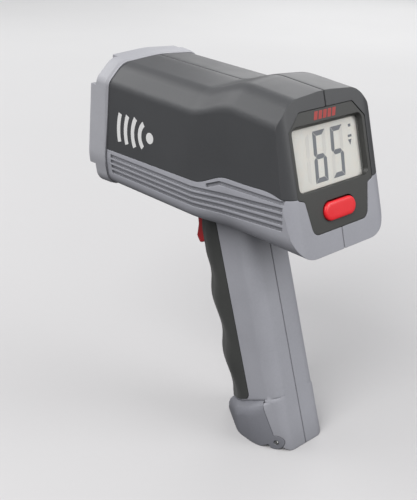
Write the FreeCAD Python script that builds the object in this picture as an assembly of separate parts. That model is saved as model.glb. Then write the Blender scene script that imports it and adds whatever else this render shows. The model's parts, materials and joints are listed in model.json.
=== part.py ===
"""Hand-held speed radar gun, modelled as an assembly of separate pieces.

Row frame, millimetres: +Z up, +Y towards the target, +X to the right of the person who holds it.
The origin is the middle of the handle's flat base, on the plane where the two housings meet.
"""

import FreeCAD
import Part

import math
import os

V = FreeCAD.Vector

# ---------------------------------------------------------------- driving dimensions
WALL = 2.4  # housing wall
SEAM = 0.12  # gap where two mouldings meet
RIB_DEPTH, RIB_HALF = 1.25, 1.0  # depth and half width of the grooves between the flank ribs

HEAD_BOTTOM = 131.2  # underside of the head
HEAD_TOP = 205.3  # roof, ahead of its step
ROOF_CLIMB = 0.0245  # how much the front roof climbs per mm forward
STEP_FRONT, STEP_REAR = 40.0, 7.0  # the roof rises between these Y stations
STEP_RISE = 7.4
ROOF_FALL = 0.075  # how much the rear roof drops per mm rearward
HALF_FRONT, HALF_REAR = 39.5, 38.2  # half widths ahead of and behind the step
SHOULDER_IN = 1.9  # how far the flank leans in at the shoulder
CROWN = 2.0  # roof's rise in the middle
CHAMFER = 10.4  # roof corner chamfer
SHOULDER_ROUND, ROOF_ROUND = 7.5, 15.0  # the chamfer's lower and upper corners
BOTTOM_ROUND_FRONT, BOTTOM_ROUND_REAR = 9.5, 15.0  # lower corners of the head

PART_Z, PART_FALL = 154.4, 0.0156  # line between the roof shells and the housings, at the bezel
PART_FRONT, PART_REAR = 33.0, 9.0  # it rises between these Y stations
PART_RISE = 7.9
PART_CLIMB = 0.03
PART_BACK_Z = 162.2  # where it crosses the rear face

REAR_Y, REAR_Z = -43.0, 132.5  # a point low on the rear face
REAR_TILT = math.radians(16.3)  # the rear face looks up at the user
REAR_ROUND = 9.0  # upright corners of the rear face

FRONT_Z = 170.0  # height at which the bezel's Y stations are given
FRONT_TILT = math.radians(2.0)  # the front leans back
BEZEL_Y, WEB_Y, NOTCH_Y, FRONT_Y = 109.6, 113.2, 119.4, 124.4
BEZEL_PROUD = 2.4  # how far the bezel stands out from the head
APERTURE_HALF, APERTURE_LOW, APERTURE_HIGH, APERTURE_ROUND = 33.5, 138.5, 201.0, 12.0

RAKE = math.radians(18.4)  # handle axis
HANDLE_REAR = -29.5  # rear of the handle at Z = 0
HANDLE_DEPTH = 49.4  # front to back, measured level
HANDLE_HALF = 17.6
FINGER_PITCH, FINGER_PEAK, FINGER_SWELL = 34.6, 73.5, 1.9
HANDLE_FRONT_LIMIT = 58.4  # the front of the handle turns upright below the head
GRIP_T, GRIP_WALL, GRIP_PROUD = 1.5, 1.9, 0.25
GRIP_BACK = 24.2  # rear edge of the rubber, ahead of the handle's rear
GRIP_LOW = 22.2  # lower rear corner of the rubber

SHOE_Z, SHOE_Y, SHOE_SLOPE = 8.2, 28.0, 0.508  # top plane of the flared battery door
HINGE_Y, HINGE_Z, KNUCKLE_R = -21.7, 4.2, 4.1
HINGE_PIN_R, HINGE_PIN_END = 1.25, 18.2
DOOR_SWING = math.radians(120.0)
KNUCKLE_IN, KNUCKLE_OUT = 9.5, 14.5  # the housings' knuckles, in |X|

CELL_R, CELL_LENGTH, CELL_NUB = 12.9, 49.0, 1.5  # C cell
CELL_START, CELL_BASE_Y = 16.0, -9.3  # lower cell's end along the axis; the axis's Y at Z = 0
TUBE_IN, TUBE_OUT, TUBE_LOW, TUBE_HIGH = 13.25, 14.05, 28.5, 112.5

TRIGGER_Y, TRIGGER_Z, TRIGGER_HALF = 49.4, 124.2, 6.6
TRIGGER_LOW, TRIGGER_SLOT_LOW = 100.8, 99.5
TRIGGER_PIN_R = 1.5
PLUNGER_Z, PLUNGER_R = 113.4, 1.4

BUTTON_UP, BUTTON_HALF, BUTTON_TALL, BUTTON_PROUD = 20.6, 12.3, 9.9, 1.2
LCD_HALF, LCD_LOW, LCD_HIGH, LCD_DEPTH = 24.8, 33.6, 63.4, 3.8
PLATE_HALF, PLATE_TOP, PLATE_CHAMFER = 29.7, 72.8, 9.0
PLATE_SINK, PLATE_T, MOUTH_ROUND = 0.3, 2.9, 2.8
SHOULDER_UP = 29.0
TONGUE_HIGH_HALF, TONGUE_LOW_HALF, TONGUE_LOW = 25.2, 21.6, 10.4
BOARD_DEPTH, BOARD_T = 10.6, 1.6

BEAM_Z = 168.0  # axis of the horn
SCREW_R, SCREW_HEAD_R, SCREW_LENGTH, WELL_R, WELL_WALL = 1.45, 2.7, 16.0, 3.0, 1.2
SCREW_HEAD_X = 6.0  # where the screw heads seat
SCREW_BORE = 1.15  # bore for the display board's small screws
LOWER_SCREWS = [(94.0, 137.4), (-13.0, 138.2), (41.0, 84.0), (26.5, 36.0), (20.8, 126.0)]
UPPER_SCREWS = [(62.0, 188.0), (-4.0, 190.0)]
STANDOFFS = [(22.0, -9.0), (22.0, 26.0)]
MAIN_BOARD_Z = 158.0

SOLIDS = {}


# ---------------------------------------------------------------- shape helpers
def keep(name, *shapes):
    """Files one piece, made of one or more solids, under its node name."""
    solids = [solid for shape in shapes for solid in shape.Solids]
    SOLIDS[name] = Part.makeCompound(solids) if len(solids) > 1 else solids[0]


def box(x0, x1, y0, y1, z0, z1):
    return Part.makeBox(x1 - x0, y1 - y0, z1 - z0, V(x0, y0, z0))


def rod(start, end, radius):
    axis = end - start
    return Part.makeCylinder(radius, axis.Length, start, axis)


def cross_rod(x0, x1, y, z, radius):
    return Part.makeCylinder(radius, x1 - x0, V(x0, y, z), V(1, 0, 0))


def rounded_loop(points, radii, place):
    """A closed wire through points (pairs), each corner rounded by its radius, mapped to 3D by place."""
    edges, corners, count = [], [], len(points)
    for i in range(count):
        corner = V(*points[i], 0)
        a = (V(*points[i - 1], 0) - corner).normalize()
        b = (V(*points[(i + 1) % count], 0) - corner).normalize()
        half = a.getAngle(b) / 2
        reach = radii[i] / math.tan(half)
        middle = corner + (a + b).normalize() * (radii[i] / math.sin(half) - radii[i])
        corners.append((corner + a * reach, middle, corner + b * reach))
    for i in range(count):
        start, middle, end = corners[i]
        if radii[i] > 0:
            edges.append(Part.Arc(place(start), place(middle), place(end)).toShape())
        following = corners[(i + 1) % count][0]
        edges.append(Part.LineSegment(place(end), place(following)).toShape())
    return Part.Wire(edges)


def level(z):
    return lambda p: V(p.x, p.y, z)


def shoe_slope(drop):
    return lambda p: V(p.x, p.y, shoe_plane_z(p.y) - drop)


def upright(y):
    return lambda p: V(p.x, y, p.y)


def sideways(x):
    return lambda p: V(x, p.x, p.y)


def slab(points, radii, place, direction):
    """A prism with a rounded outline."""
    return Part.Face(rounded_loop(points, radii, place)).extrude(direction)


def side_prism(points, radii, x0, x1):
    """A prism along X whose outline is given in (Y, Z)."""
    return slab(points, radii, sideways(x0), V(x1 - x0, 0, 0))


def front_plate(half, low, high, round_, y0, y1):
    """A prism along Y: a rounded rectangle, half wide on each side, from low to high."""
    points = [(-half, low), (half, low), (half, high), (-half, high)]
    return slab(points, [round_] * 4, upright(y0), V(0, y1 - y0, 0))


def smooth(t):
    t = min(1.0, max(0.0, t))
    return t * t * (3 - 2 * t)


def mirrored(shape):
    return shape.mirror(V(0, 0, 0), V(1, 0, 0))


def right_side(shape):
    return shape.common(box(SEAM / 2, 60, -80, 150, -20, 240))


# ---------------------------------------------------------------- the head's outer form
def step_share(y, front, rear):
    """0 ahead of the step, 1 behind it."""
    return smooth((front - y) / (front - rear))


def roof_z(y):
    ahead = HEAD_TOP + ROOF_CLIMB * (y - STEP_FRONT)
    behind = HEAD_TOP + STEP_RISE + ROOF_FALL * (y - STEP_REAR)
    share = step_share(y, STEP_FRONT, STEP_REAR)
    return ahead * (1 - share) + behind * share


def parting_z(y):
    ahead = PART_Z + PART_FALL * (BEZEL_Y - y)
    behind = PART_Z + 1.2 + PART_RISE + PART_CLIMB * (PART_REAR - y)
    share = step_share(y, PART_FRONT, PART_REAR)
    return ahead * (1 - share) + behind * share


def head_section(y, inset=0.0):
    """The head's outline across X at one station, drawn in by inset."""
    share = step_share(y, STEP_FRONT, STEP_REAR)
    half = HALF_FRONT * (1 - share) + HALF_REAR * share - inset
    top, low, widest = roof_z(y) - inset, HEAD_BOTTOM + inset, parting_z(y) - 6
    shoulder, cut = half - SHOULDER_IN, CHAMFER - 0.4 * inset
    right = [
        (half - 2.6, low),
        (half, widest),
        (shoulder, top - CROWN - cut),
        (shoulder - cut, top - CROWN),
    ]
    left = [(-x, z) for x, z in reversed(right)]
    low_r = BOTTOM_ROUND_FRONT * (1 - share) + BOTTOM_ROUND_REAR * share - inset
    side_radii = [low_r, 30, SHOULDER_ROUND - 0.5 * inset, ROOF_ROUND - 0.5 * inset]
    radii = side_radii + [90] + side_radii[::-1]
    return rounded_loop(right + [(0, top)] + left, radii, upright(y))


def head_body(inset=0.0):
    """Three stretches: the straight rear, the step, and the straight front."""
    step = [STEP_REAR + (STEP_FRONT - STEP_REAR) * i / 8 for i in range(9)]
    rear = Part.makeLoft([head_section(y, inset) for y in (-52, step[0])], True, True)
    middle = Part.makeLoft([head_section(y, inset) for y in step], True, False)
    front = Part.makeLoft([head_section(y, inset) for y in (step[-1], 136)], True, True)
    return rear.fuse([middle, front])


def rear_envelope(inset):
    """Everything ahead of the tilted rear face, with its upright corners rounded."""
    half, corner, low, rise = HALF_REAR + 3 - inset, REAR_ROUND + 3 - inset, 100.0, 140.0
    rear = REAR_Y + (low - REAR_Z) * math.tan(REAR_TILT) + inset / math.cos(REAR_TILT)
    points = [(-half, rear), (half, rear), (half, 170), (-half, 170)]
    lean = V(0, rise * math.tan(REAR_TILT), rise)
    return slab(points, [corner, corner, 0, 0], level(low), lean)


def front_plane_y(base, z):
    return base - (z - FRONT_Z) * math.tan(FRONT_TILT)


def behind_front(base):
    """All space behind the leaning plane that passes through (base, FRONT_Z)."""
    low, high = 90.0, 230.0
    points = [(-90, low), (front_plane_y(base, low), low), (front_plane_y(base, high), high), (-90, high)]
    return side_prism(points, [0] * 4, -70, 70)


def parting_region(above):
    """Side-view region above or below the parting line, which drops as it rounds the rear corners."""
    gap = SEAM / 2 if above else -SEAM / 2
    stations = [140, 90, 50, 36, 33, 30, 27, 24, 21, 18, 15, 12, 9, 4, -10, -22]
    points = [V(-60, y, parting_z(y) + gap) for y in stations]
    low = PART_BACK_Z + gap
    points += [V(-60, -29, parting_z(-22) - 1.2 + gap), V(-60, -35, low), V(-60, -41, low)]
    curve = Part.BSplineCurve()
    curve.interpolate(points)
    far = 240.0 if above else -20.0
    loop = [points[-1], V(-60, -80, low), V(-60, -80, far), V(-60, 140, far), points[0]]
    sides = [Part.LineSegment(a, b).toShape() for a, b in zip(loop, loop[1:])]
    return Part.Face(Part.Wire([curve.toShape()] + sides)).extrude(V(120, 0, 0))


# ---------------------------------------------------------------- the rear face's own plane
UP = V(0, math.sin(REAR_TILT), math.cos(REAR_TILT))  # up the rear face
IN = V(0, math.cos(REAR_TILT), -math.sin(REAR_TILT))  # into the head
FOOT = V(0, REAR_Y, REAR_Z)


def rear_point(x, up, depth):
    return FOOT + V(x, 0, 0) + UP * up + IN * depth


def on_rear(depth):
    return lambda p: rear_point(p.x, p.y, depth)


def rear_slab(points, radii, depth, thickness):
    return slab(points, radii, on_rear(depth), IN * thickness)


def rear_box(half, low, high, depth, thickness, corner=0.0, middle=0.0):
    points = [(middle - half, low), (middle + half, low), (middle + half, high), (middle - half, high)]
    return rear_slab(points, [corner] * 4, depth, thickness)


def rear_rod(x, up, depth, end, radius):
    return rod(rear_point(x, up, depth), rear_point(x, up, end), radius)


def plate_slab(grow, depth, thickness):
    """The display plate's outline: a chamfered rectangle with a tongue that hangs below it."""
    half, top, shoulder = PLATE_HALF + grow, PLATE_TOP + grow, SHOULDER_UP - grow
    right = [
        (TONGUE_LOW_HALF + grow, TONGUE_LOW - grow),
        (TONGUE_HIGH_HALF + grow, shoulder),
        (half, shoulder + 1.5),
        (half, top - PLATE_CHAMFER),
        (half - PLATE_CHAMFER, top),
    ]
    left = [(-x, up) for x, up in reversed(right)]
    radii = [5.0, 1.6, 1.4, 2.0, 2.0]
    return rear_slab(right + left, radii + radii[::-1], depth, thickness)


# ---------------------------------------------------------------- the handle's outer form
def handle_rear(z):
    return HANDLE_REAR + z * math.tan(RAKE)


def handle_front(z):
    """The raked front with its finger swells, turning upright under the head."""
    ease = smooth((z - 8) / 14) * smooth((102 - z) / 12)
    wave = FINGER_SWELL * math.cos(2 * math.pi * (z - FINGER_PEAK) / FINGER_PITCH)
    raked = handle_rear(z) + HANDLE_DEPTH + (0.7 + wave) * ease
    over = max(0.0, raked - HANDLE_FRONT_LIMIT + 3)
    return raked - over + 3 * (1 - math.exp(-over / 3))


def handle_section(z, inset=0.0):
    rear, front, half = handle_rear(z) + inset, handle_front(z) - inset, HANDLE_HALF - inset
    right = [(half, rear), (half, front - 14.5), (half - 8.6, front)]
    left = [(-x, y) for x, y in reversed(right)]
    radii = [max(3.0, 8.5 - inset), 14, 8]
    return rounded_loop(right + left, radii + radii[::-1], level(z))


def handle_body(inset=0.0):
    stations = [-8, 0, 7, 14] + list(range(20, 111, 6)) + [118, 127, 138]
    return Part.makeLoft([handle_section(z, inset) for z in stations], True, False)


def shoe_plane_z(y):
    return SHOE_Z + (SHOE_Y - y) * SHOE_SLOPE


def shoe_section(drop, share, inset):
    """Outline of the flared shoe in a plane parallel to its top, drop below it.

    share runs from the handle's outline, 0, to the full flare, 1."""
    wide = HANDLE_HALF
    slim = [(wide, HANDLE_REAR, 1), (wide + 0.3, -13, 1), (wide, 5.4, 1), (9, 19.9, 1)]
    full = [(14.5, HANDLE_REAR, 1), (24.6, -12.5, 0.95), (23.8, 4.0, 0.7), (8, 29.2, 0.35)]
    right = []
    for (x0, y0, k0), (x1, y1, k1) in zip(slim, full):
        x, start = x0 + (x1 - x0) * share, y0 + (y1 - y0) * share
        lean = math.tan(RAKE) * (k0 + (k1 - k0) * share)
        y = (start + lean * (shoe_plane_z(0) - drop)) / (1 + lean * SHOE_SLOPE)
        right.append((x, y))
    pull = [(-inset, inset), (-inset, 0), (-inset, -inset * 0.3), (-inset * 0.7, -inset)]
    right = [(x + dx, y + dy) for (x, y), (dx, dy) in zip(right, pull)]
    left = [(-x, y) for x, y in reversed(right)]
    radii = [8.5 - inset * 0.8, 16, 14, 8]
    return rounded_loop(right + left, radii + radii[::-1], shoe_slope(drop))


def shoe_body(inset=0.0):
    rows = [(-6, 0.0), (0.0, 0.04), (1.0, 0.36), (2.6, 0.74), (5.0, 0.94), (8.0, 1.0), (42, 1.0)]
    return Part.makeLoft([shoe_section(drop + inset, share, inset) for drop, share in rows], True, True)


def above_shoe_plane(gap):
    points = [(-60, shoe_plane_z(-60) + gap), (80, shoe_plane_z(80) + gap), (80, 160), (-60, 160)]
    return side_prism(points, [0] * 4, -50, 50)


def below_shoe_plane(gap):
    points = [(-60, 0), (60, 0), (60, shoe_plane_z(60) - gap), (-60, shoe_plane_z(-60) - gap)]
    return side_prism(points, [0] * 4, -50, 50)


def ahead_of_hinge_line(gap):
    """Space ahead of the line that climbs from the hinge to the shoe's top, plus the knuckle's disc."""
    lean = SHOE_SLOPE
    points = [
        (HINGE_Y + gap - lean * 20, HINGE_Z - 20),
        (80, HINGE_Z - 20),
        (80, 60),
        (HINGE_Y + gap + lean * (60 - HINGE_Z), 60),
    ]
    region = side_prism(points, [0] * 4, -50, 50)
    under = box(-50, 50, HINGE_Y - 20, HINGE_Y, -30, HINGE_Z)
    return region.cut(under).fuse(cross_rod(-50, 50, HINGE_Y, HINGE_Z, KNUCKLE_R - gap))


def hinge_relief():
    """Wedge below the hinge, outside the knuckle's disc, where the door's corner swings past the heel."""
    half = DOOR_SWING / 2 + math.radians(1.0)
    reach = HINGE_Z + 1.5
    points = [(HINGE_Y, HINGE_Z), (HINGE_Y + reach * math.tan(half), HINGE_Z - reach)]
    points.append((HINGE_Y - reach * math.tan(half), HINGE_Z - reach))
    wedge = side_prism(points, [0] * 3, -50, 50)
    return wedge.cut(cross_rod(-60, 60, HINGE_Y, HINGE_Z, KNUCKLE_R))


# ---------------------------------------------------------------- the handle's axis
AXIS = V(0, math.sin(RAKE), math.cos(RAKE))


def on_axis(along):
    return V(0, CELL_BASE_Y, 0) + AXIS * along


# ---------------------------------------------------------------- housings and roof shells
def grip_region(gap):
    """Side-view region of the rubber: ahead of a raked line, from just above the shoe to the head."""
    back, lean = HANDLE_REAR + GRIP_BACK - gap, math.tan(RAKE)
    low = GRIP_LOW - gap
    points = [
        (back + low * lean, shoe_plane_z(back + low * lean) + 0.9 - gap),
        (90, shoe_plane_z(90) + 0.9 - gap),
        (90, HEAD_BOTTOM - SEAM + gap),
        (back + (HEAD_BOTTOM - SEAM + gap) * lean, HEAD_BOTTOM - SEAM + gap),
    ]
    return side_prism(points, [4.5, 0, 0, 0], -30, 30)


def rib_paths():
    """Grooves on each flank as (Y, Z) corners: four ahead of the step, a fifth behind it."""
    front, kink, back = 106.3, 34.0, -31.5
    grooves = [(141.2, 141.5, 147.4), (144.5, 144.8, 151.0), (147.8, 148.1, 154.6), (151.0, 151.4, 158.1)]
    paths = [[(front, a), (kink, b), (back, c)] for a, b, c in grooves]
    paths.append([(23.0, 155.7), (13.5, 159.7), (back, 161.5)])
    return paths


def band(path, half):
    """A flat band along a polyline, as a prism that crosses the right flank."""
    upper, lower = [], []
    for i, (y, z) in enumerate(path):
        y0, z0 = path[max(i - 1, 0)]
        y1, z1 = path[min(i + 1, len(path) - 1)]
        along = V(y1 - y0, z1 - z0, 0).normalize()
        upper.append((y - along.y * half, z + along.x * half))
        lower.append((y + along.y * half, z - along.x * half))
    loop = upper + lower[::-1]
    return side_prism(loop, [0] * len(loop), 10, 60)


def screw_posts(screws, reach):
    """Posts on the right of the seam: a shank hole near the seam, then a well for the head."""
    posts, holes = [], []
    for y, z in screws:
        posts.append(cross_rod(SEAM / 2, reach, y, z, WELL_R + WELL_WALL))
        holes.append(cross_rod(-1, 60, y, z, SCREW_R + 0.15))
        holes.append(cross_rod(SCREW_HEAD_X, 60, y, z, WELL_R))
    return posts, holes


def build_shells():
    outer = head_body().common(rear_envelope(0))
    inner = head_body(WALL).common(rear_envelope(WALL))
    hollow = outer.cut(inner).cut(plate_slab(SEAM, -8, 14)).common(behind_front(BEZEL_Y - SEAM / 2))
    hollow = right_side(hollow)

    upper = hollow.common(parting_region(True))
    lower = hollow.common(parting_region(False))
    core = head_body(RIB_DEPTH)
    for path in rib_paths():
        lower = lower.cut(band(path, RIB_HALF).cut(core))

    handle, under_grip = handle_body(), handle_body(GRIP_T)
    neck = right_side(handle).common(above_shoe_plane(SEAM / 2))
    neck = neck.common(box(-40, 40, -60, 90, 0, HEAD_BOTTOM + 1))
    neck = neck.cut(handle.cut(under_grip).common(grip_region(SEAM)))
    cavity = handle_body(GRIP_T + GRIP_WALL).common(box(-40, 40, -60, 90, 0, HEAD_BOTTOM))
    heel = right_side(shoe_body()).common(below_shoe_plane(-0.5))
    heel = heel.cut(right_side(shoe_body(WALL)).common(box(0, 60, -60, 60, WALL, 60)))
    heel = heel.cut(ahead_of_hinge_line(-0.2))
    knuckle = cross_rod(KNUCKLE_IN + 0.15, KNUCKLE_OUT, HINGE_Y, HINGE_Z, KNUCKLE_R - 0.1)
    web = box(KNUCKLE_IN + 0.15, KNUCKLE_OUT, HINGE_Y - 5.2, HINGE_Y, HINGE_Z - 3.6, HINGE_Z + 1.5)
    heel = heel.fuse([knuckle, web.common(shoe_body())]).cut(hinge_relief())
    slot = box(-1, TRIGGER_HALF + 0.6, 43, 90, TRIGGER_SLOT_LOW, HEAD_BOTTOM - SEAM)
    rear_bay = handle_body(WALL).cut(grip_region(GRIP_WALL)).common(box(-40, 40, -60, 90, 0, HEAD_BOTTOM))
    wire_way = box(-1, 9, 22, 44, HEAD_BOTTOM - 1, HEAD_BOTTOM + WALL + 1)
    neck = neck.cut(cavity).cut(rear_bay)
    lower = lower.fuse(neck).cut([slot, wire_way]).fuse(heel)
    pin_hole = cross_rod(-20, 9.8, TRIGGER_Y, TRIGGER_Z, TRIGGER_PIN_R)
    hinge_hole = cross_rod(-20, 20, HINGE_Y, HINGE_Z, HINGE_PIN_R)
    lower = lower.cut(hinge_hole)

    inside = inner.fuse(handle_body(GRIP_T + 0.4)).common(box(0, 60, -60, BEZEL_Y - 3, 20, 230))
    for kind, shell, screws in (("housing", lower, LOWER_SCREWS), ("upper_shell", upper, UPPER_SCREWS)):
        posts, holes = screw_posts(screws, 45)
        if kind == "housing":
            posts.append(cross_rod(TRIGGER_HALF + 0.6, 45, TRIGGER_Y, TRIGGER_Z, 3.2))
            posts += [rod(V(x, y, HEAD_BOTTOM), V(x, y, MAIN_BOARD_Z), 3.0) for x, y in STANDOFFS]
            posts = [post.common(inside) for post in posts]
        else:
            posts = [post.common(inside).common(parting_region(True)) for post in posts]
        plain = shell.fuse(posts)
        if kind == "housing":
            plain = plain.cut([pin_hole] + [rod(V(x, y, 150), V(x, y, 170), 1.0) for x, y in STANDOFFS])
        keep(f"right_{kind}", plain.cut(holes))
        pilots = [cross_rod(-1, 12, y, z, SCREW_R - 0.1) for y, z in screws]
        keep(f"left_{kind}", mirrored(plain.cut(pilots)))


def build_grip():
    skin = handle_body(-GRIP_PROUD).cut(handle_body(GRIP_T - 0.05)).common(grip_region(0))
    slot = box(-TRIGGER_HALF - 0.6, TRIGGER_HALF + 0.6, 40, 90, TRIGGER_SLOT_LOW - 0.2, 140)
    holes = [cross_rod(0, 40, y, z, WELL_R) for y, z in LOWER_SCREWS[2:4]]
    keep("grip", skin.cut([slot] + holes))


def build_screws():
    screws = []
    for y, z in LOWER_SCREWS + UPPER_SCREWS:
        shank = cross_rod(SCREW_HEAD_X + 2 - SCREW_LENGTH, SCREW_HEAD_X + 0.5, y, z, SCREW_R - 0.1)
        head = cross_rod(SCREW_HEAD_X, SCREW_HEAD_X + 2, y, z, SCREW_HEAD_R)
        cross = box(SCREW_HEAD_X + 1, SCREW_HEAD_X + 3, y - 1.7, y + 1.7, z - 0.35, z + 0.35)
        bar = box(SCREW_HEAD_X + 1, SCREW_HEAD_X + 3, y - 0.35, y + 0.35, z - 1.7, z + 1.7)
        screws.append(shank.fuse(head).cut([cross, bar]))
    keep("housing_screws", *screws)


# ---------------------------------------------------------------- the front of the head
def bezel_section(y, grow):
    low, high = HEAD_BOTTOM - 1.2 * grow / BEZEL_PROUD, roof_z(y) + 1.5 * grow / BEZEL_PROUD
    half = HALF_FRONT + grow
    right = [
        (half - 3.4, low),
        (half, PART_Z - 6),
        (half - SHOULDER_IN, high - CROWN - CHAMFER),
        (half - SHOULDER_IN - CHAMFER, high - CROWN),
    ]
    left = [(-x, z) for x, z in reversed(right)]
    radii = [BOTTOM_ROUND_FRONT, 30, 6.5, 11]
    return rounded_loop(right + [(0, high)] + left, radii + [90] + radii[::-1], upright(y))


def build_front():
    rows = [(104, 0.3), (BEZEL_Y, 0.45), (BEZEL_Y + 1.2, 1.3), (BEZEL_Y + 4, 1.75)]
    rows.append((FRONT_Y + 6, BEZEL_PROUD))
    body = Part.makeLoft([bezel_section(y, grow) for y, grow in rows], True, True)
    ring = body.common(behind_front(FRONT_Y)).cut(behind_front(BEZEL_Y + SEAM / 2))
    ahead = box(-60, 60, NOTCH_Y - 4, 140, 100, 230).cut(behind_front(NOTCH_Y))
    side_points = [(30, 150.0), (34, 143.0), (60, 143.0), (60, 192.0), (30, 192.0)]
    side_pad = slab(side_points, [0] * 5, upright(100), V(0, 40, 0))
    top_pad = box(-24, 24, 100, 140, 190, 230)
    low_pad = box(-21, 21, 100, 140, 120, 150)
    ring = ring.cut(ahead.cut([side_pad, mirrored(side_pad), top_pad, low_pad]))
    opening = front_plate(APERTURE_HALF, APERTURE_LOW, APERTURE_HIGH, APERTURE_ROUND, WEB_Y, 140)
    throat = rod(V(0, 100, BEAM_Z), V(0, 140, BEAM_Z), 29.6)
    tongue = head_body(WALL + 0.1).cut(head_body(WALL + 1.7))
    tongue = tongue.common(box(-60, 60, BEZEL_Y - 6, BEZEL_Y + 1.4, 100, 230))
    tongue = tongue.cut([cross_rod(-60, 60, y, z, WELL_R + WELL_WALL + 0.4) for y, z in LOWER_SCREWS[:1]])
    angles = [math.radians(a) for a in (45, 135, 225, 315)]
    spots = [(31.0 * math.cos(a), 31.0 * math.sin(a)) for a in angles]
    pilots = [Part.makeCylinder(0.85, 8, V(x, 104.2, BEAM_Z + z), V(0, 1, 0)) for x, z in spots]
    keep("front_bezel", ring.cut([opening, throat]).fuse(tongue).cut(pilots))

    inside = APERTURE_HALF - 0.25
    low, high = APERTURE_LOW + 0.25, APERTURE_HIGH - 0.25
    gasket = front_plate(inside, low, high, APERTURE_ROUND, WEB_Y + 0.02, WEB_Y + 0.9)
    keep("radome_gasket", gasket.cut(rod(V(0, 100, BEAM_Z), V(0, 140, BEAM_Z), 30.2)))
    pane = front_plate(inside, low, high, APERTURE_ROUND, WEB_Y + 0.92, WEB_Y + 6)
    dome_r = 420.0
    dome = Part.makeSphere(dome_r, V(0, WEB_Y + 4.6 - dome_r, BEAM_Z + 2))
    keep("radome", pane.common(dome))

    def horn_form(grow):
        outline = [(0, 58), (5 + grow, 58), (5 + grow, 64), (27.6 + grow, 107.9), (0, 107.9)]
        profile = [V(x, y, 0) for x, y in outline]
        face = Part.Face(Part.makePolygon(profile + [profile[0]]))
        return face.revolve(V(0, 0, 0), V(0, 1, 0), 360)

    horn = horn_form(1.2).cut(horn_form(0))
    flange = Part.makeCylinder(32.6, 1.3, V(0, 106.6, 0), V(0, 1, 0)).cut(
        Part.makeCylinder(27.6, 4, V(0, 106, 0), V(0, 1, 0))
    )
    horn = horn.fuse(flange)
    holes = [Part.makeCylinder(0.9, 6, V(x, 105, z), V(0, 1, 0)) for x, z in spots]
    horn = horn.cut(holes)
    horn.translate(V(0, 0, BEAM_Z))
    keep("horn_antenna", horn)
    screws = []
    for x, z in spots:
        head = Part.makeCylinder(1.7, 1.1, V(x, 105.45, BEAM_Z + z), V(0, 1, 0))
        screws.append(head.fuse(Part.makeCylinder(0.85, 6.0, V(x, 106, BEAM_Z + z), V(0, 1, 0))))
    keep("horn_screws", *screws)

    block = box(-13, 13, 34, 57.9, BEAM_Z - 13, BEAM_Z + 13)
    for x in (-11.5, 11.5):
        for y in (39.0, 45.9, 52.8):
            block = block.cut(box(x - 1.5, x + 1.5, y - 1.2, y + 1.2, BEAM_Z - 20, BEAM_Z + 20))
    tuner = V(0, 42, BEAM_Z + 8)
    cap = V(0, 52, BEAM_Z + 10)
    block = block.cut([rod(tuner, tuner + V(0, 0, 8), 2.0), rod(cap, cap + V(0, 0, 8), 3.5)])
    keep("waveguide_block", block)
    keep("tuning_screw", rod(tuner + V(0, 0, 0.1), tuner + V(0, 0, 7.5), 1.95).cut(
        box(-3, 3, 41.7, 42.3, BEAM_Z + 14.7, BEAM_Z + 17)
    ))
    keep("mixer_diode_cap", rod(cap + V(0, 0, 0.1), cap + V(0, 0, 5.2), 3.4).fuse(
        rod(cap + V(0, 0, 5.2), cap + V(0, 0, 7.4), 2.2)
    ))


# ---------------------------------------------------------------- the display
def pill(grow, depth, thickness):
    half, tall = BUTTON_HALF + grow, BUTTON_TALL / 2 + grow
    return rear_box(half, BUTTON_UP - tall, BUTTON_UP + tall, depth, thickness, tall - 0.01)


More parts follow.
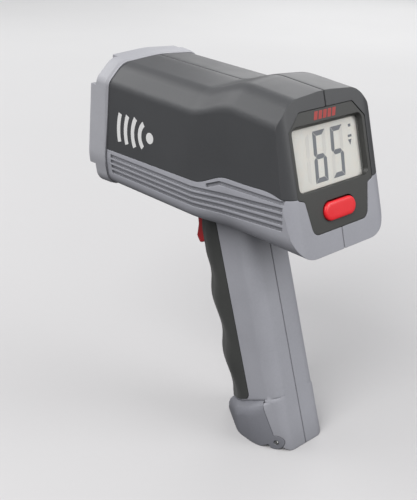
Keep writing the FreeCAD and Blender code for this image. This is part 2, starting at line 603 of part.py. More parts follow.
def build_display():
    plate = plate_slab(0, PLATE_SINK, PLATE_T).fuse(plate_slab(0.75, WALL + 0.08, 1.3))
    mouth_rows = [(PLATE_SINK - 1, 3.4), (LCD_DEPTH + 1, -0.3)]
    mouth = []
    for depth, grow in mouth_rows:
        half, low, high = LCD_HALF + grow, LCD_LOW - 0.3 * grow, LCD_HIGH + grow
        points = [(-half, low), (half, low), (half, high), (-half, high)]
        mouth.append(rounded_loop(points, [MOUTH_ROUND + grow * 0.3] * 4, on_rear(depth)))
    plate = plate.cut(Part.makeLoft(mouth, True, True))
    seat = rear_box(LCD_HALF + 1.2, LCD_LOW - 1.2, LCD_HIGH + 1.2, 2.5, 3)
    plate = plate.cut([seat, pill(0.35, -4, 12)])
    keep("display_bezel", plate)
    keep("display_window", rear_box(LCD_HALF + 1.1, LCD_LOW - 1.1, LCD_HIGH + 1.1, 2.55, 1.15, 1.0))
    keep("lcd_panel", rear_box(LCD_HALF + 1.6, LCD_LOW - 2.4, LCD_HIGH + 2.4, LCD_DEPTH + 0.02, 2.2))
    room = BOARD_DEPTH - LCD_DEPTH
    frame = rear_box(LCD_HALF + 2.9, LCD_LOW - 3.5, LCD_HIGH + 3.5, LCD_DEPTH + 0.02, room - 0.04)
    spots = [(x, up) for x in (-20.0, 20.0) for up in (LCD_LOW - 4.9, LCD_HIGH + 3.9)]
    frame = frame.fuse([rear_rod(x, up, LCD_DEPTH + 3.4, BOARD_DEPTH - 0.02, 1.9) for x, up in spots])
    frame = frame.cut(rear_box(LCD_HALF + 1.7, LCD_LOW - 2.5, LCD_HIGH + 2.5, 3, 9))
    keep("lcd_frame", frame.cut([rear_rod(x, up, LCD_DEPTH, BOARD_DEPTH + 1, SCREW_BORE) for x, up in spots]))
    strips = []
    for up in (LCD_LOW - 1.4, LCD_HIGH + 1.4):
        strips.append(rear_box(LCD_HALF, up - 0.9, up + 0.9, LCD_DEPTH + 2.24, room - 2.26))
    keep("zebra_connectors", *strips)
    board = rear_box(27.5, 13.4, 69.0, BOARD_DEPTH, BOARD_T, 1.5)
    board = board.cut([rear_rod(x, up, 5, 20, SCREW_BORE) for x, up in spots])
    keep("display_board", board)
    screws = []
    for x, up in spots:
        low = BOARD_DEPTH + BOARD_T
        screws.append(rear_rod(x, up, low, low + 1.4, 2.0).fuse(rear_rod(x, up, low - 4.5, low + 0.1, 1.1)))
    keep("display_board_screws", *screws)
    behind = BOARD_DEPTH + BOARD_T
    keep("display_driver_chips", rear_box(6, 41, 53, behind, 1.5), rear_box(2.5, 26, 31, behind, 1.2, 0, 12))

    button = pill(0, -BUTTON_PROUD, BUTTON_PROUD + 4.0).fuse(pill(0.85, 3.95, 1.0))
    button = button.fuse(rear_rod(0, BUTTON_UP, 4.9, 6.1, 2.6))
    keep("power_button", button)
    keep("power_switch_plunger", rear_rod(0, BUTTON_UP, 6.12, 8.3, 1.7))
    body = rear_box(3.2, BUTTON_UP - 3.2, BUTTON_UP + 3.2, 7.4, BOARD_DEPTH - 7.4, 0.4)
    keep("power_switch", body.cut(rear_rod(0, BUTTON_UP, 6, 9.6, 1.76)))


# ---------------------------------------------------------------- the main board
def build_main_board():
    low, top = MAIN_BOARD_Z, MAIN_BOARD_Z + BOARD_T
    board = box(-28, 28, -16, 32.5, low, top)
    places = [(sign * x, y) for sign in (-1, 1) for x, y in STANDOFFS]
    board = board.cut([rod(V(x, y, low - 1), V(x, y, top + 1), 1.25) for x, y in places])
    keep("main_board", board)
    screws = []
    for x, y in places:
        head = rod(V(x, y, top), V(x, y, top + 1.5), 2.3)
        screws.append(head.fuse(rod(V(x, y, low - 6), V(x, y, top + 0.1), 0.98)))
    keep("main_board_screws", *screws)
    chips = [
        box(-6, 6, 4, 16, top, top + 1.6),
        box(-16, -10, -6, 2, top, top + 1.4),
        box(10, 15, -8, 0, top, top + 1.4),
        box(-14, -9, 18, 24, top, top + 1.3),
        box(9, 20, 12, 17, top, top + 3.4),
    ]
    keep("main_board_chips", *chips)
    sizes = ((-18, 12, 3.2, 8), (0, -9, 4, 10), (0, 24, 3.2, 7))
    cans = [rod(V(x, y, top), V(x, y, top + tall), r) for x, y, r, tall in sizes]
    keep("main_board_capacitors", *cans)


# ---------------------------------------------------------------- trigger and its switch
def build_trigger():
    points = [
        (45.6, 128.6),
        (54.0, 128.9),
        (63.4, 130.2),
        (65.2, 124.5),
        (62.8, 113.0),
        (64.0, 104.8),
        (61.0, TRIGGER_LOW),
        (54.2, 104.0),
        (47.0, 111.6),
        (46.6, 116.0),
        (45.6, 121.0),
    ]
    radii = [2.2, 3.0, 0.9, 8.0, 9.0, 1.6, 1.6, 6.0, 1.4, 4.0, 2.5]
    blade = side_prism(points, radii, -TRIGGER_HALF, TRIGGER_HALF)
    edges = [e for e in blade.Edges if e.BoundBox.XLength < 1e-6 and e.BoundBox.YMin > 53.5]
    blade = blade.makeFillet(0.8, edges)
    keep("trigger", blade.cut(cross_rod(-10, 10, TRIGGER_Y, TRIGGER_Z, TRIGGER_PIN_R + 0.06)))
    keep("trigger_pin", cross_rod(-9.6, 9.6, TRIGGER_Y, TRIGGER_Z, TRIGGER_PIN_R - 0.01))
    switch = box(-5.2, 5.2, 36.8, 44.4, 109.4, 120.6)
    switch = switch.cut(rod(V(0, 40.5, PLUNGER_Z), V(0, 46, PLUNGER_Z), PLUNGER_R + 0.06))
    keep("trigger_switch", switch)
    keep("trigger_switch_plunger", rod(V(0, 42.9, PLUNGER_Z), V(0, 46.55, PLUNGER_Z), PLUNGER_R))
    spring = cross_rod(-TRIGGER_HALF - 0.55, -TRIGGER_HALF - 0.05, TRIGGER_Y, TRIGGER_Z, 2.3)
    keep("trigger_spring", spring.cut(cross_rod(-20, 20, TRIGGER_Y, TRIGGER_Z, 1.6)))


# ---------------------------------------------------------------- power: tube, cells, contacts, door
def build_battery_bay():
    tube = rod(on_axis(TUBE_LOW), on_axis(TUBE_HIGH), TUBE_OUT).cut(rod(on_axis(0), on_axis(140), TUBE_IN))
    keep("battery_tube", tube)
    for name, start in (("battery_lower", CELL_START), ("battery_upper", CELL_START + CELL_LENGTH + 0.02)):
        can = rod(on_axis(start), on_axis(start + CELL_LENGTH - CELL_NUB), CELL_R)
        nub = rod(on_axis(start + 1), on_axis(start + CELL_LENGTH), 3.2)
        keep(name, can.fuse(nub))
    top = CELL_START + 2 * CELL_LENGTH + 0.06
    plate = rod(on_axis(top), on_axis(top + 0.5), 9.0)
    tab = rod(on_axis(top + 0.4), on_axis(top + 2.0), 1.6)
    keep("battery_top_contact", plate.fuse(tab))


def build_door():
    outer = shoe_body().common(below_shoe_plane(SEAM / 2)).common(ahead_of_hinge_line(0.0))
    hollow = shoe_body(WALL).common(box(-60, 60, -60, 60, WALL + 0.2, 60))
    mouth = handle_body(GRIP_T + GRIP_WALL + 0.8).common(box(-40, 40, -60, 60, 9, 60))
    cell_bay = rod(on_axis(9), on_axis(60), CELL_R + 0.9)
    knuckle = cross_rod(KNUCKLE_IN, KNUCKLE_IN + KNUCKLE_OUT, HINGE_Y, HINGE_Z, KNUCKLE_R)
    knuckles = [knuckle, mirrored(knuckle)]
    door = outer.cut(hollow.cut(knuckles)).cut([mouth, cell_bay, hinge_relief()])
    for side in (-1, 1):
        inner, far = KNUCKLE_IN, KNUCKLE_OUT + 0.25
        x0, x1 = (inner, far) if side > 0 else (-far, -inner)
        door = door.cut(cross_rod(x0, x1, HINGE_Y, HINGE_Z, KNUCKLE_R + 0.35))
        door = door.cut(box(x0, x1, HINGE_Y - 8, HINGE_Y, -1, HINGE_Z))
    door = door.cut(cross_rod(-30, 30, HINGE_Y, HINGE_Z, HINGE_PIN_R + 0.06))
    keep("battery_door", max(door.Solids, key=lambda s: s.Volume))
    pin = cross_rod(KNUCKLE_IN + 0.15, HINGE_PIN_END, HINGE_Y, HINGE_Z, HINGE_PIN_R - 0.01)
    keep("door_hinge_pins", pin, mirrored(pin))
    peak, floor = on_axis(CELL_START - 0.12), WALL + 0.22
    points = [(-15, floor), (-12.6, floor), (peak.y, peak.z - 0.9), (5.6, floor), (12, floor)]
    upper = [(y, z + 0.5) for y, z in points]
    strip = side_prism(points + upper[::-1], [0] * 10, -4, 4)
    keep("battery_spring_contact", strip)


def main():
    os.makedirs("parts", exist_ok=True)
    build_shells()
    build_grip()
    build_screws()
    build_front()
    build_display()
    build_main_board()
    build_trigger()
    build_battery_bay()
    build_door()
    for name, shape in SOLIDS.items():
        state = "valid" if shape.isValid() else "BROKEN"
        print(f"{name:26s} {len(shape.Solids)} solid(s) {shape.Volume / 1000:8.2f} cm3 {state}")
        shape.exportStep(f"parts/{name}.step")


if __name__ == "__main__":
    main()
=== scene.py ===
"""Looks of the speed radar gun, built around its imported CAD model. Metres, in the CAD row frame."""

import json
import math

import bmesh
import bpy
from mathutils import Matrix, Vector
from mathutils.bvhtree import BVHTree

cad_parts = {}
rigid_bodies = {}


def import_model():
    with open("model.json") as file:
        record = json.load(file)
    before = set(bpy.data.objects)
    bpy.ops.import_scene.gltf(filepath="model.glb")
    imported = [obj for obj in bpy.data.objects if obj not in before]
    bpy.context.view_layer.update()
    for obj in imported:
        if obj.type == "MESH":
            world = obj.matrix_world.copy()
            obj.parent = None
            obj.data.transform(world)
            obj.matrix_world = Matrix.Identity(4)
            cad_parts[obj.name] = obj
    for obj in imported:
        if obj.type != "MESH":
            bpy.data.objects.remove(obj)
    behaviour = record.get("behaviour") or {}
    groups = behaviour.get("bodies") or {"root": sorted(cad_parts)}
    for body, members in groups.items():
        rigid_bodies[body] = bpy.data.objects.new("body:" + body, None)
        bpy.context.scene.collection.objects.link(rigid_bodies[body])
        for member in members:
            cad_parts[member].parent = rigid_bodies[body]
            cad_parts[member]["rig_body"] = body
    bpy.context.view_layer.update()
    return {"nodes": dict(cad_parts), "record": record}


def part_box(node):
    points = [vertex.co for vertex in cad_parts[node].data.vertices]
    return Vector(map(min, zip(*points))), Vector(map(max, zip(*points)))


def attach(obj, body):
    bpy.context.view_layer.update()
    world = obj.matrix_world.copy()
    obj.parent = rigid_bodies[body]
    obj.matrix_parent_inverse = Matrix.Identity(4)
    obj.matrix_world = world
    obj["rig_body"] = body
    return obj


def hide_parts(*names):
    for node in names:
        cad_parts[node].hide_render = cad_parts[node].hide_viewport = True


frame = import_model()
MM = 0.001


# ---------------------------------------------------------------- camera and light
def make_camera():
    data = bpy.data.cameras.new("camera")
    data.lens = 62.55
    data.sensor_width = 36.0
    data.clip_start, data.clip_end = 0.02, 60.0
    camera = bpy.data.objects.new("camera", data)
    bpy.context.scene.collection.objects.link(camera)
    forward = Vector((0.6300, 0.6611, -0.4075)).normalized()
    right = Vector((0.7327, -0.6799, 0.0297)).normalized()
    up = right.cross(forward).normalized()
    right = forward.cross(up).normalized()
    turn = Matrix((right, up, -forward)).transposed().to_4x4()
    camera.matrix_world = Matrix.Translation((-0.3386, -0.2953, 0.3133)) @ turn
    bpy.context.scene.camera = camera


def area_light(name, place, target, size, power, colour=(1, 1, 1)):
    data = bpy.data.lights.new(name, "AREA")
    data.shape = "RECTANGLE"
    data.size, data.size_y = size
    data.energy = power
    data.color = colour
    light = bpy.data.objects.new(name, data)
    light.location = place
    light.rotation_mode = "QUATERNION"
    light.rotation_quaternion = (Vector(target) - Vector(place)).to_track_quat("-Z", "Y")
    bpy.context.scene.collection.objects.link(light)
    return light


def make_world(stops, strength):
    """Soft light from all round: stops are (height from 0, straight down, to 1, straight up; brightness)."""
    world = bpy.data.worlds.new("studio")
    bpy.context.scene.world = world
    world.use_nodes = True
    tree = world.node_tree
    split = tree.nodes.new("ShaderNodeSeparateXYZ")
    tree.links.new(tree.nodes.new("ShaderNodeTexCoord").outputs["Generated"], split.inputs["Vector"])
    height = tree.nodes.new("ShaderNodeMapRange")
    height.inputs["From Min"].default_value = -1.0
    tree.links.new(split.outputs["Z"], height.inputs["Value"])
    ramp = tree.nodes.new("ShaderNodeValToRGB")
    while len(ramp.color_ramp.elements) < len(stops):
        ramp.color_ramp.elements.new(0.5)
    for element, (at, level) in zip(ramp.color_ramp.elements, stops):
        element.position = at
        element.color = (level, level, level * 1.02, 1)
    tree.links.new(height.outputs["Result"], ramp.inputs["Fac"])
    back = tree.nodes["Background"]
    tree.links.new(ramp.outputs["Color"], back.inputs["Color"])
    back.inputs["Strength"].default_value = strength


# ---------------------------------------------------------------- materials
class Nodes:
    """A short way to build a material's node tree."""

    def __init__(self, name):
        self.material = bpy.data.materials.new(name)
        self.material.use_nodes = True
        self.tree = self.material.node_tree
        self.shader = self.tree.nodes["Principled BSDF"]
        self.place = self.add("ShaderNodeTexCoord").outputs["Object"]

    def add(self, kind, **settings):
        node = self.tree.nodes.new(kind)
        for key, value in settings.items():
            setattr(node, key, value)
        return node

    def link(self, output, target):
        self.tree.links.new(output, target)

    def noise(self, scale, detail=2.0, rough=0.5, stretch=None):
        node = self.add("ShaderNodeTexNoise")
        node.inputs["Scale"].default_value = scale
        node.inputs["Detail"].default_value = detail
        node.inputs["Roughness"].default_value = rough
        source = self.place
        if stretch:
            mapping = self.add("ShaderNodeMapping")
            mapping.inputs["Scale"].default_value = stretch
            self.link(source, mapping.inputs["Vector"])
            source = mapping.outputs["Vector"]
        self.link(source, node.inputs["Vector"])
        return node.outputs["Fac"]

    def cells(self, scale):
        node = self.add("ShaderNodeTexVoronoi")
        node.inputs["Scale"].default_value = scale
        self.link(self.place, node.inputs["Vector"])
        return node.outputs["Distance"]

    def spread(self, value, low, high, start=0.3, end=0.7):
        """Maps a texture value from start..end to low..high."""
        node = self.add("ShaderNodeMapRange")
        node.inputs["From Min"].default_value = start
        node.inputs["From Max"].default_value = end
        node.inputs["To Min"].default_value = low
        node.inputs["To Max"].default_value = high
        self.link(value, node.inputs["Value"])
        return node.outputs["Result"]

    def ramp(self, value, stops):
        node = self.add("ShaderNodeValToRGB")
        ramp = node.color_ramp
        while len(ramp.elements) < len(stops):
            ramp.elements.new(0.5)
        for element, (at, colour) in zip(ramp.elements, stops):
            element.position = at
            element.color = (*colour, 1)
        self.link(value, node.inputs["Fac"])
        return node.outputs["Color"]

    def mix(self, share, a, b):
        node = self.add("ShaderNodeMix", data_type="RGBA")
        for key, value in (("A", a), ("B", b)):
            target = [s for s in node.inputs if s.name == key and s.type == "RGBA"][0]
            if isinstance(value, tuple):
                target.default_value = (*value, 1)
            else:
                self.link(value, target)
        factor = node.inputs["Factor"]
        if isinstance(share, (int, float)):
            factor.default_value = share
        else:
            self.link(share, factor)
        return [s for s in node.outputs if s.type == "RGBA"][0]

    def math(self, operation, a, b=0.0):
        node = self.add("ShaderNodeMath", operation=operation)
        for target, value in zip(node.inputs, (a, b)):
            if isinstance(value, (int, float)):
                target.default_value = value
            else:
                self.link(value, target)
        return node.outputs["Value"]

    def rounded(self, radius, samples=4):
        node = self.add("ShaderNodeBevel", samples=samples)
        node.inputs["Radius"].default_value = radius
        return node.outputs["Normal"]

    def edges(self, normal, sharpness=14.0):
        """1 along sharp edges and 0 on the flats, from how far the rounded normal leans."""
        flat = self.add("ShaderNodeNewGeometry").outputs["Normal"]
        dot = self.add("ShaderNodeVectorMath", operation="DOT_PRODUCT")
        self.link(normal, dot.inputs[0])
        self.link(flat, dot.inputs[1])
        lean = self.math("SUBTRACT", 1.0, dot.outputs["Value"])
        return self.math("MINIMUM", self.math("MULTIPLY", lean, sharpness), 1.0)

    def bump(self, height, strength, distance, normal=None):
        node = self.add("ShaderNodeBump")
        node.inputs["Strength"].default_value = strength
        node.inputs["Distance"].default_value = distance
        self.link(height, node.inputs["Height"])
        if normal is not None:
            self.link(normal, node.inputs["Normal"])
        return node.outputs["Normal"]

    def hollows(self, reach, low=0.35, high=0.95):
        """0 in narrow grooves and gaps, 1 in the open."""
        node = self.add("ShaderNodeAmbientOcclusion", samples=6)
        node.inputs["Distance"].default_value = reach
        return self.spread(node.outputs["AO"], 0.0, 1.0, low, high)

    def finish(self, colour=None, rough=None, normal=None, **plain):
        if colour is not None:
            self.link(colour, self.shader.inputs["Base Color"])
        if rough is not None:
            self.link(rough, self.shader.inputs["Roughness"])
        if normal is not None:
            self.link(normal, self.shader.inputs["Normal"])
        for key, value in plain.items():
            self.shader.inputs[key.replace("_", " ")].default_value = value
        return self.material


def shade(colour, factor):
    return tuple(min(1.0, channel * factor) for channel in colour)


BROAD_SHADE_REACH = 28 * MM  # how far the painted shade spreads from an inner corner, such as the neck under the head
GROOVE_SHADE_REACH = 1.6 * MM  # the same for the painted shade in narrow grooves and seams


def moulded(name, colour, rough=(0.42, 0.55)):
    """Spark-textured injection-moulded plastic, lighter along sharp edges from wear and a painted edge
    highlight, with painted shade in grooves and inner corners.
    """
    n = Nodes(name)
    cloud = n.noise(22.0, 4.0, 0.6)
    fine = n.noise(900.0, 2.0)
    body = n.ramp(cloud, [(0.3, shade(colour, 0.93)), (0.7, shade(colour, 1.06))])
    body = n.mix(n.spread(fine, 0.0, 0.35), body, shade(colour, 1.12))
    soft = n.rounded(0.3 * MM)
    mask = n.edges(soft)
    # Lighter along sharp edges: partly wear, partly a painted edge highlight.
    edge_wear_and_highlight = n.math("MULTIPLY", mask, n.spread(n.noise(160.0, 3.0), 0.25, 1.0))
    body = n.mix(n.math("MULTIPLY", edge_wear_and_highlight, 0.55), body, shade(colour, 1.35))
    # Painted shade: darker in narrow grooves, seams and gaps.
    body = n.mix(n.hollows(GROOVE_SHADE_REACH), shade(colour, 0.32), body)
    # Painted shade: broadly darker near inner corners, such as the handle's neck under the head.
    body = n.mix(n.hollows(BROAD_SHADE_REACH, 0.45, 0.95), shade(colour, 0.62), body)
    normal = n.bump(n.noise(2600.0, 3.0, 0.6), 0.2, 0.06 * MM, soft)
    gloss = n.spread(cloud, rough[0], rough[1])
    return n.finish(body, gloss, normal)


def rubber(name, colour):
    """Soft overmoulded rubber: fine stipple, matt, with a dusty sheen."""
    n = Nodes(name)
    cloud = n.noise(35.0, 4.0, 0.6)
    body = n.ramp(cloud, [(0.3, shade(colour, 0.85)), (0.7, shade(colour, 1.15))])
    soft = n.rounded(0.4 * MM)
    stipple = n.cells(1500.0)
    normal = n.bump(stipple, 0.25, 0.12 * MM, soft)
    return n.finish(body, n.spread(cloud, 0.62, 0.75), normal, Sheen_Weight=0.12)


def metal(name, colour, rough=(0.25, 0.4), brushed=(400, 400, 4000)):
    n = Nodes(name)
    streak = n.noise(1.0, 3.0, 0.6, brushed)
    body = n.ramp(n.noise(60.0, 3.0), [(0.3, shade(colour, 0.85)), (0.7, shade(colour, 1.05))])
    normal = n.bump(streak, 0.15, 0.03 * MM, n.rounded(0.15 * MM))
    return n.finish(body, n.spread(streak, *rough), normal, Metallic=1.0)


def glossy(name, colour, rough, coat, hollow_shade_reach=GROOVE_SHADE_REACH):
    n = Nodes(name)
    body = n.ramp(n.noise(60.0, 3.0), [(0.3, shade(colour, 0.94)), (0.7, shade(colour, 1.05))])
    # Painted shade: darker in hollows within this reach.
    if hollow_shade_reach:
        body = n.mix(n.hollows(hollow_shade_reach), shade(colour, 0.25), body)
    normal = n.bump(n.noise(500.0, 2.0), 0.05, 0.05 * MM, n.rounded(0.3 * MM))
    gloss = n.spread(n.noise(90.0, 3.0), rough * 0.8, rough * 1.3)
    return n.finish(body, gloss, normal, Coat_Weight=coat)


def set_material(obj, material):
    obj.data.materials.clear()
    obj.data.materials.append(material)


make_camera()
make_world([(0.0, 0.08), (0.45, 0.28), (0.55, 0.48), (0.8, 0.70), (1.0, 0.75)], 0.70)
area_light("key", (-1.08, -0.16, 1.22), (0, 0.03, 0.13), (1.1, 1.1), 16.2, (1.0, 0.99, 0.98))
area_light("right_fill", (0.8, -1.1, 0.8), (0, 0.03, 0.12), (0.9, 0.9), 9.0)
area_light("roof_sheen", (1.6, 1.05, 0.9), (0, 0.0, 0.2), (1.0, 1.0), 6.0)
area_light("corner_sheen", (-0.55, 1.35, 1.3), (0, 0.03, 0.18), (1.3, 1.0), 9.5)

housing = moulded("moulded_housing_grey", (0.385, 0.390, 0.428))
bezel = moulded("moulded_bezel_grey", (0.41, 0.414, 0.445))
# The battery door's grey is the housing grey darkened as painted shade on the foot.
foot_painted_shade_grey = moulded("moulded_foot_painted_shade_grey", (0.24, 0.245, 0.275))
charcoal = moulded("moulded_charcoal", (0.062, 0.064, 0.068), rough=(0.36, 0.46))
plate = moulded("moulded_display_black", (0.052, 0.053, 0.050), rough=(0.4, 0.5))
grip = rubber("grip_rubber", (0.042, 0.044, 0.042))
steel = metal("screw_steel", (0.6, 0.6, 0.58))
aluminium = metal("horn_aluminium", (0.75, 0.76, 0.78))
brass = metal("contact_brass", (0.75, 0.6, 0.3))
board = moulded("circuit_board_green", (0.02, 0.13, 0.05), rough=(0.3, 0.4))
black = moulded("chip_black", (0.02, 0.02, 0.022))
red = glossy("button_red", (0.99, 0.018, 0.028), 0.38, 0.12)
# The trigger's painted shade reaches 14 mm, darker towards the head's underside.
trigger_red = glossy("trigger_red", (0.50, 0.024, 0.03), 0.35, 0.2, 14 * MM)
nylon = moulded("frame_plastic", (0.5, 0.5, 0.47))
gasket = rubber("gasket_rubber", (0.02, 0.02, 0.02))
radome = moulded("radome_black", (0.03, 0.03, 0.032), rough=(0.3, 0.4))
cell = glossy("cell_can", (0.12, 0.12, 0.13), 0.3, 0.3)


def lcd_material():
    """The reflective back of a liquid-crystal display: pale, faintly mottled pink and green."""
    n = Nodes("lcd_glass")
    mottle = n.ramp(n.noise(260.0, 3.0, 0.7), [(0.35, (0.870, 0.835, 0.760)), (0.65, (0.840, 0.842, 0.790))])
    normal = n.bump(n.noise(1500.0, 2.0), 0.04, 0.02 * MM)
    return n.finish(mottle, n.spread(n.noise(80.0, 3.0), 0.28, 0.4), normal)


def window_material():
    n = Nodes("window_clear")
    smear = n.noise(90.0, 4.0, 0.6)
    tint = n.ramp(smear, [(0.3, (0.9, 0.92, 0.92)), (0.7, (0.95, 0.95, 0.96))])
    return n.finish(tint, n.spread(smear, 0.04, 0.12), None, Alpha=0.06)


def ink(name, colour):
    """A printed mark, with pinholes where the moulded texture shows through."""
    n = Nodes(name)
    holes = n.spread(n.noise(1400.0, 2.0), 0.0, 1.0, 0.25, 0.33)
    body = n.mix(holes, shade(colour, 0.6), colour)
    normal = n.bump(n.noise(2600.0, 3.0), 0.15, 0.04 * MM)
    return n.finish(body, n.spread(n.noise(300.0), 0.4, 0.55), normal)


BY_SLOT = {
    "housing_grey": housing, "shell_charcoal": charcoal, "bezel_grey": bezel, "grip_rubber": grip,
    "radome_black": radome, "gasket_rubber": gasket, "display_black": plate, "window_clear": window_material(),
    "lcd_glass": lcd_material(), "frame_plastic": nylon, "circuit_board": board, "chip_black": black,
    "can_aluminium": aluminium, "button_red": red, "trigger_red": trigger_red, "switch_black": black,
    "cell_can": cell, "contact_brass": brass, "horn_aluminium": aluminium, "screw_steel": steel,
}
slot_of = {part["node"]: part["material_slot"] for part in frame["record"]["subparts"]}
for name, obj in frame["nodes"].items():
    set_material(obj, BY_SLOT[slot_of[name]])
# The battery door takes the darker grey of painted shade.
set_material(frame["nodes"]["battery_door"], foot_painted_shade_grey)


# ---------------------------------------------------------------- mesh helpers
def new_object(name, mesh, material, body):
    obj = bpy.data.objects.new(name, mesh)
    bpy.context.scene.collection.objects.link(obj)
    set_material(obj, material)
    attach(obj, body)
    return obj


def extruded(name, outlines, place, thickness):
    """A mesh of flat shapes, given as outlines of 2D points, set in place by place(x, y, lift)."""
    mesh = bpy.data.meshes.new(name)
    work = bmesh.new()
    for outline in outlines:
        low = [work.verts.new(place(x, y, 0.0)) for x, y in outline]
        high = [work.verts.new(place(x, y, thickness)) for x, y in outline]
        work.faces.new(high)
        work.faces.new(low[::-1])
        for i in range(len(outline)):
            j = (i + 1) % len(outline)
            work.faces.new((low[i], low[j], high[j], high[i]))
    bmesh.ops.recalc_face_normals(work, faces=work.faces)
    work.to_mesh(mesh)
    work.free()
    return mesh


# ---------------------------------------------------------------- the rear face's own plane
REAR_TILT = math.radians(16.3)
BUTTON_HALF, BUTTON_TALL, BUTTON_PROUD = 12.3, 9.9, 1.2
UP = Vector((0, math.sin(REAR_TILT), math.cos(REAR_TILT)))
IN = Vector((0, math.cos(REAR_TILT), -math.sin(REAR_TILT)))
FOOT = Vector((0, -43.0, 132.5)) * MM


def rear_point(x, up, depth):
    return FOOT + (Vector((x, 0, 0)) + UP * up + IN * depth) * MM


# ---------------------------------------------------------------- the display's figures
LCD_DEPTH = 3.8
window_low, window_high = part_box("display_window")
LCD_MIDDLE = ((window_low + window_high) / 2 - FOOT).dot(UP) / MM
DIGIT_HALF = 13.2
DIGIT_LOW, DIGIT_HIGH = LCD_MIDDLE - DIGIT_HALF, LCD_MIDDLE + DIGIT_HALF
DIGIT_WIDTH, STROKE, SLANT = 9.7, 2.5, 0.08
DIGIT_X = (-23.6, -10.9, 2.9)
SEGMENTS = "abcdefg"
LIT = {6: "acdefg", 5: "acdfg", 1: ""}
HAS = {6: SEGMENTS, 5: SEGMENTS, 1: "bc"}


def segment_outlines(left, names):
    """Mitred bars of a seven-segment figure whose lower left corner is at left."""
    w, low, high, t = DIGIT_WIDTH, DIGIT_LOW, DIGIT_HIGH, STROKE
    mid, gap, h = (low + high) / 2, 0.16, STROKE / 2
    bars = {
        "a": [(gap, high), (w - gap, high), (w - t - gap, high - t), (t + gap, high - t)],
        "d": [(gap, low), (t + gap, low + t), (w - t - gap, low + t), (w - gap, low)],
        "g": [(h + gap, mid), (t + gap, mid + h), (w - t - gap, mid + h), (w - h - gap, mid),
              (w - t - gap, mid - h), (t + gap, mid - h)],
        "f": [(0, high - gap), (t, high - t - gap), (t, mid + h + gap), (h, mid + gap), (0, mid + h + gap)],
        "e": [(0, low + gap), (0, mid - h - gap), (h, mid - gap), (t, mid - h - gap), (t, low + t + gap)],
        "b": [(w, high - gap), (w, mid + h + gap), (w - h, mid + gap),
              (w - t, mid + h + gap), (w - t, high - t - gap)],
        "c": [(w, low + gap), (w - t, low + t + gap), (w - t, mid - h - gap),
              (w - h, mid - gap), (w, mid - h - gap)],
    }
    return [[(left + x + SLANT * (y - low), y) for x, y in bars[n]] for n in names]


def on_lcd(x, up, lift):
    return rear_point(x, up, LCD_DEPTH - 0.004 - lift)


def build_figures():
    dark = glossy("lcd_segment_dark", (0.135, 0.150, 0.175), 0.35, 0.0, 0)
    faint = glossy("lcd_segment_faint", (0.770, 0.755, 0.710), 0.35, 0.0, 0)
    on, off = [], []
    for left, value in zip(DIGIT_X, (1, 6, 5)):
        on += segment_outlines(left, [n for n in HAS[value] if n in LIT[value]])
        off += segment_outlines(left, [n for n in HAS[value] if n not in LIT[value]])
    x, up = 18.2, LCD_MIDDLE
    on.append([(x, up + 4.4), (x + 2.8, up + 4.4), (x + 1.4, up + 1.4)])
    on.append([(x + 0.2, up + 6.9), (x + 3.2, up + 6.9), (x + 3.2, up + 5.6), (x + 0.2, up + 5.6)])
    on.append([(x + 1.4, up + 12.4), (x + 3.4, up + 12.4), (x + 3.4, up + 10.9), (x + 1.4, up + 10.9)])
    new_object("lcd_segments_on", extruded("lcd_segments_on", on, on_lcd, 0.05), dark, "gun")
    new_object("lcd_segments_off", extruded("lcd_segments_off", off, on_lcd, 0.03), faint, "gun")


# ---------------------------------------------------------------- generic marks
PLATE_DEPTH = 0.302  # just outside the display plate's face
MARK_REAR, MARK_HEIGHT = 70.5, 170.3  # the flank mark's dot, along Y and Z in mm
MARK_THICK, MARK_SUNK = 0.05, 0.01


def build_plate_mark():
    """Five slanted stripes on the plate above the display."""
    stripes = []
    low, high, lean = 67.5, 71.7, 1.3
    for i in range(5):
        x, wide = -10.2 + i * 3.5, 2.6
        stripes.append([(x, low), (x + wide, low), (x + wide + lean, high), (x + lean, high)])

    def place(x, up, lift):
        return rear_point(x, up, PLATE_DEPTH - lift)

    mesh = extruded("plate_mark", stripes, place, 0.04)
    new_object("plate_mark", mesh, ink("ink_red", (0.45, 0.045, 0.04)), "gun")


def wave_outlines():
    """A dot and four arcs that open forward, as points ahead of and above the mark's rear end."""
    reach, half_height, thick = (9.0, 15.5, 22.0, 28.5), 8.4, 3.1
    outlines = [[(3.2 * math.cos(a), 3.2 * math.sin(a)) for a in [i * math.tau / 28 for i in range(28)]]]
    for radius in reach:
        spread = min(math.radians(50), math.asin(half_height / radius))
        turns = [spread * (2 * i / 14 - 1) for i in range(15)]
        outer = [((radius + thick / 2) * math.cos(a), (radius + thick / 2) * math.sin(a)) for a in turns]
        inner = [((radius - thick / 2) * math.cos(a), (radius - thick / 2) * math.sin(a)) for a in turns]
        outlines.append(outer + inner[::-1])
    return outlines


def build_flank_marks():
    white = ink("ink_white", (0.80, 0.80, 0.80))
    for side, node in ((-1, "left_upper_shell"), (1, "right_upper_shell")):
        mesh = frame["nodes"][node].data
        tree = BVHTree.FromPolygons([v.co for v in mesh.vertices], [p.vertices[:] for p in mesh.polygons])

        def place(y, z, lift):
            start = Vector((side * 0.08, (y + MARK_REAR) * MM, (z + MARK_HEIGHT) * MM))
            hit, normal, _, _ = tree.ray_cast(start, Vector((-side, 0, 0)))
            return hit + normal * (lift - MARK_SUNK) * MM

        name = "flank_mark_left" if side < 0 else "flank_mark_right"
        mark = extruded(name, wave_outlines(), place, MARK_THICK)
        new_object(name, mark, white, "gun")


# ---------------------------------------------------------------- softened shells
EDGE_ROUND, SEAM_ROUND = 0.22 * MM, 0.8 * MM
SHARP_EDGE = math.radians(26)
SEAM_BAND = 0.12 * MM  # edges this near the middle plane belong to the seam


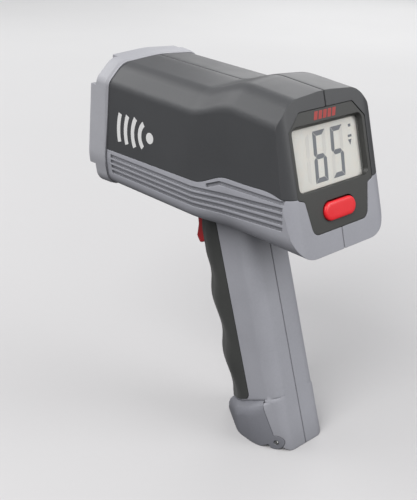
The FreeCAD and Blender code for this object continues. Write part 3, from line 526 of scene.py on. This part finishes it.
def softened(node, width=EDGE_ROUND, seam=0.0, crease=None):
    """A copy of a CAD node that stands for it, with its sharp edges rounded, more so along the seam."""
    source = frame["nodes"][node]
    work = bmesh.new()
    work.from_mesh(source.data)
    bmesh.ops.remove_doubles(work, verts=work.verts, dist=1e-6)
    bmesh.ops.dissolve_limit(
        work, angle_limit=math.radians(0.6), use_dissolve_boundaries=False, verts=work.verts, edges=work.edges
    )
    bmesh.ops.dissolve_degenerate(work, dist=2e-5, edges=work.edges)
    widest = max(width, seam)
    weight = work.edges.layers.float.new("bevel_weight_edge")
    for edge in work.edges:
        if len(edge.link_faces) != 2 or edge.calc_face_angle() < SHARP_EDGE:
            continue
        if crease and all(crease(v.co) for v in edge.verts):
            continue
        on_seam = seam and edge.is_convex and all(abs(v.co.x) < SEAM_BAND for v in edge.verts)
        edge[weight] = (seam if on_seam else width if edge.is_convex else 0.6 * width) / widest
    for face in work.faces:
        face.smooth = True
    mesh = bpy.data.meshes.new(node + "_soft")
    work.to_mesh(mesh)
    work.free()
    piece = new_object(node + "_soft", mesh, source.data.materials[0], source["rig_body"])
    rounding = piece.modifiers.new("rounding", "BEVEL")
    rounding.limit_method = "WEIGHT"
    rounding.width = widest
    rounding.segments = 2
    rounding.profile = 0.6
    rounding.use_clamp_overlap = False
    piece.modifiers.new("weighted", "WEIGHTED_NORMAL")
    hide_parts(node)
    return piece


def kept_sharp(point):
    """True for the faint crease above the flared foot, and for the housings' front that the grip covers."""
    y, z = point.y / MM, point.z / MM
    return (y < -7 and 26 < z < 34.5) or (y > 18 and z < 108)


# ---------------------------------------------------------------- the power button
def pill_ring(half, radius, depth, middle_up, count=16):
    """A stadium outline on the rear face, as points."""
    points = []
    for side in (1, -1):
        for i in range(count + 1):
            turn = math.pi * (i / count - 0.5)
            x = side * (half - radius + radius * math.cos(turn))
            up = middle_up + side * radius * math.sin(turn)
            points.append(rear_point(x, up, depth))
    return points


def build_button():
    """A crowned push button with a generously rounded rim."""
    low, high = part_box("power_button")
    centre = ((low + high) / 2 - FOOT).dot(UP) / MM
    half, radius, proud = BUTTON_HALF, BUTTON_TALL / 2, BUTTON_PROUD
    rows = [(0.0, 3.4), (0.0, 0.3 - proud * 0.2)]  # inset and depth, from the root to the crown
    rows += [(0.12, 0.55 - proud), (0.45, 0.22 - proud), (1.0, 0.05 - proud)]
    rows += [(2.2, 0.02 - proud), (3.6, 0.005 - proud)]
    work = bmesh.new()
    rings = []
    for inset, depth in rows:
        rings.append([work.verts.new(p) for p in pill_ring(half - inset, radius - inset, depth, centre)])
    for a, b in zip(rings, rings[1:]):
        for i in range(len(a)):
            j = (i + 1) % len(a)
            work.faces.new((a[i], a[j], b[j], b[i]))
    work.faces.new(rings[-1])
    work.faces.new(rings[0][::-1])
    bmesh.ops.remove_doubles(work, verts=work.verts, dist=1e-6)
    bmesh.ops.recalc_face_normals(work, faces=work.faces)
    for face in work.faces:
        face.smooth = True
    mesh = bpy.data.meshes.new("button_cap")
    work.to_mesh(mesh)
    work.free()
    mesh.set_sharp_from_angle(angle=math.radians(50))
    cap = new_object("button_cap", mesh, red, "power_button")
    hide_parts("power_button")


for node in ("left_housing", "right_housing", "left_upper_shell", "right_upper_shell"):
    softened(node, seam=SEAM_ROUND, crease=kept_sharp)
for node in ("front_bezel", "display_bezel", "battery_door", "trigger", "grip", "radome"):
    softened(node)
build_button()
build_figures()
build_plate_mark()
build_flank_marks()


# ---------------------------------------------------------------- floor
floor_mesh = bpy.data.meshes.new("floor")
floor_mesh.from_pydata([(-15, -15, 0), (15, -15, 0), (15, 15, 0), (-15, 15, 0)], [], [(0, 1, 2, 3)])
floor = bpy.data.objects.new("floor", floor_mesh)
bpy.context.scene.collection.objects.link(floor)
paper = Nodes("floor_paper")
# The floor's colour is painted light: darker near the object and lighter far away, making up for the lamps'
# light falling off with distance.
away = paper.add("ShaderNodeVectorMath", operation="LENGTH")
paper.link(paper.add("ShaderNodeTexCoord").outputs["Object"], away.inputs[0])
mottled = paper.noise(3.0, 3.0)
near = paper.ramp(mottled, [(0.3, (0.595, 0.59, 0.595)), (0.7, (0.605, 0.60, 0.605))])
far = paper.ramp(mottled, [(0.3, (0.80, 0.80, 0.80)), (0.7, (0.82, 0.82, 0.82))])
tone = paper.mix(paper.spread(away.outputs["Value"], 0.0, 1.0, 0.15, 1.3), near, far)
set_material(floor, paper.finish(tone, paper.spread(paper.noise(200.0), 0.7, 0.8)))
floor.visible_diffuse = False
floor.visible_glossy = False

bpy.context.scene.view_settings.view_transform = "Standard"
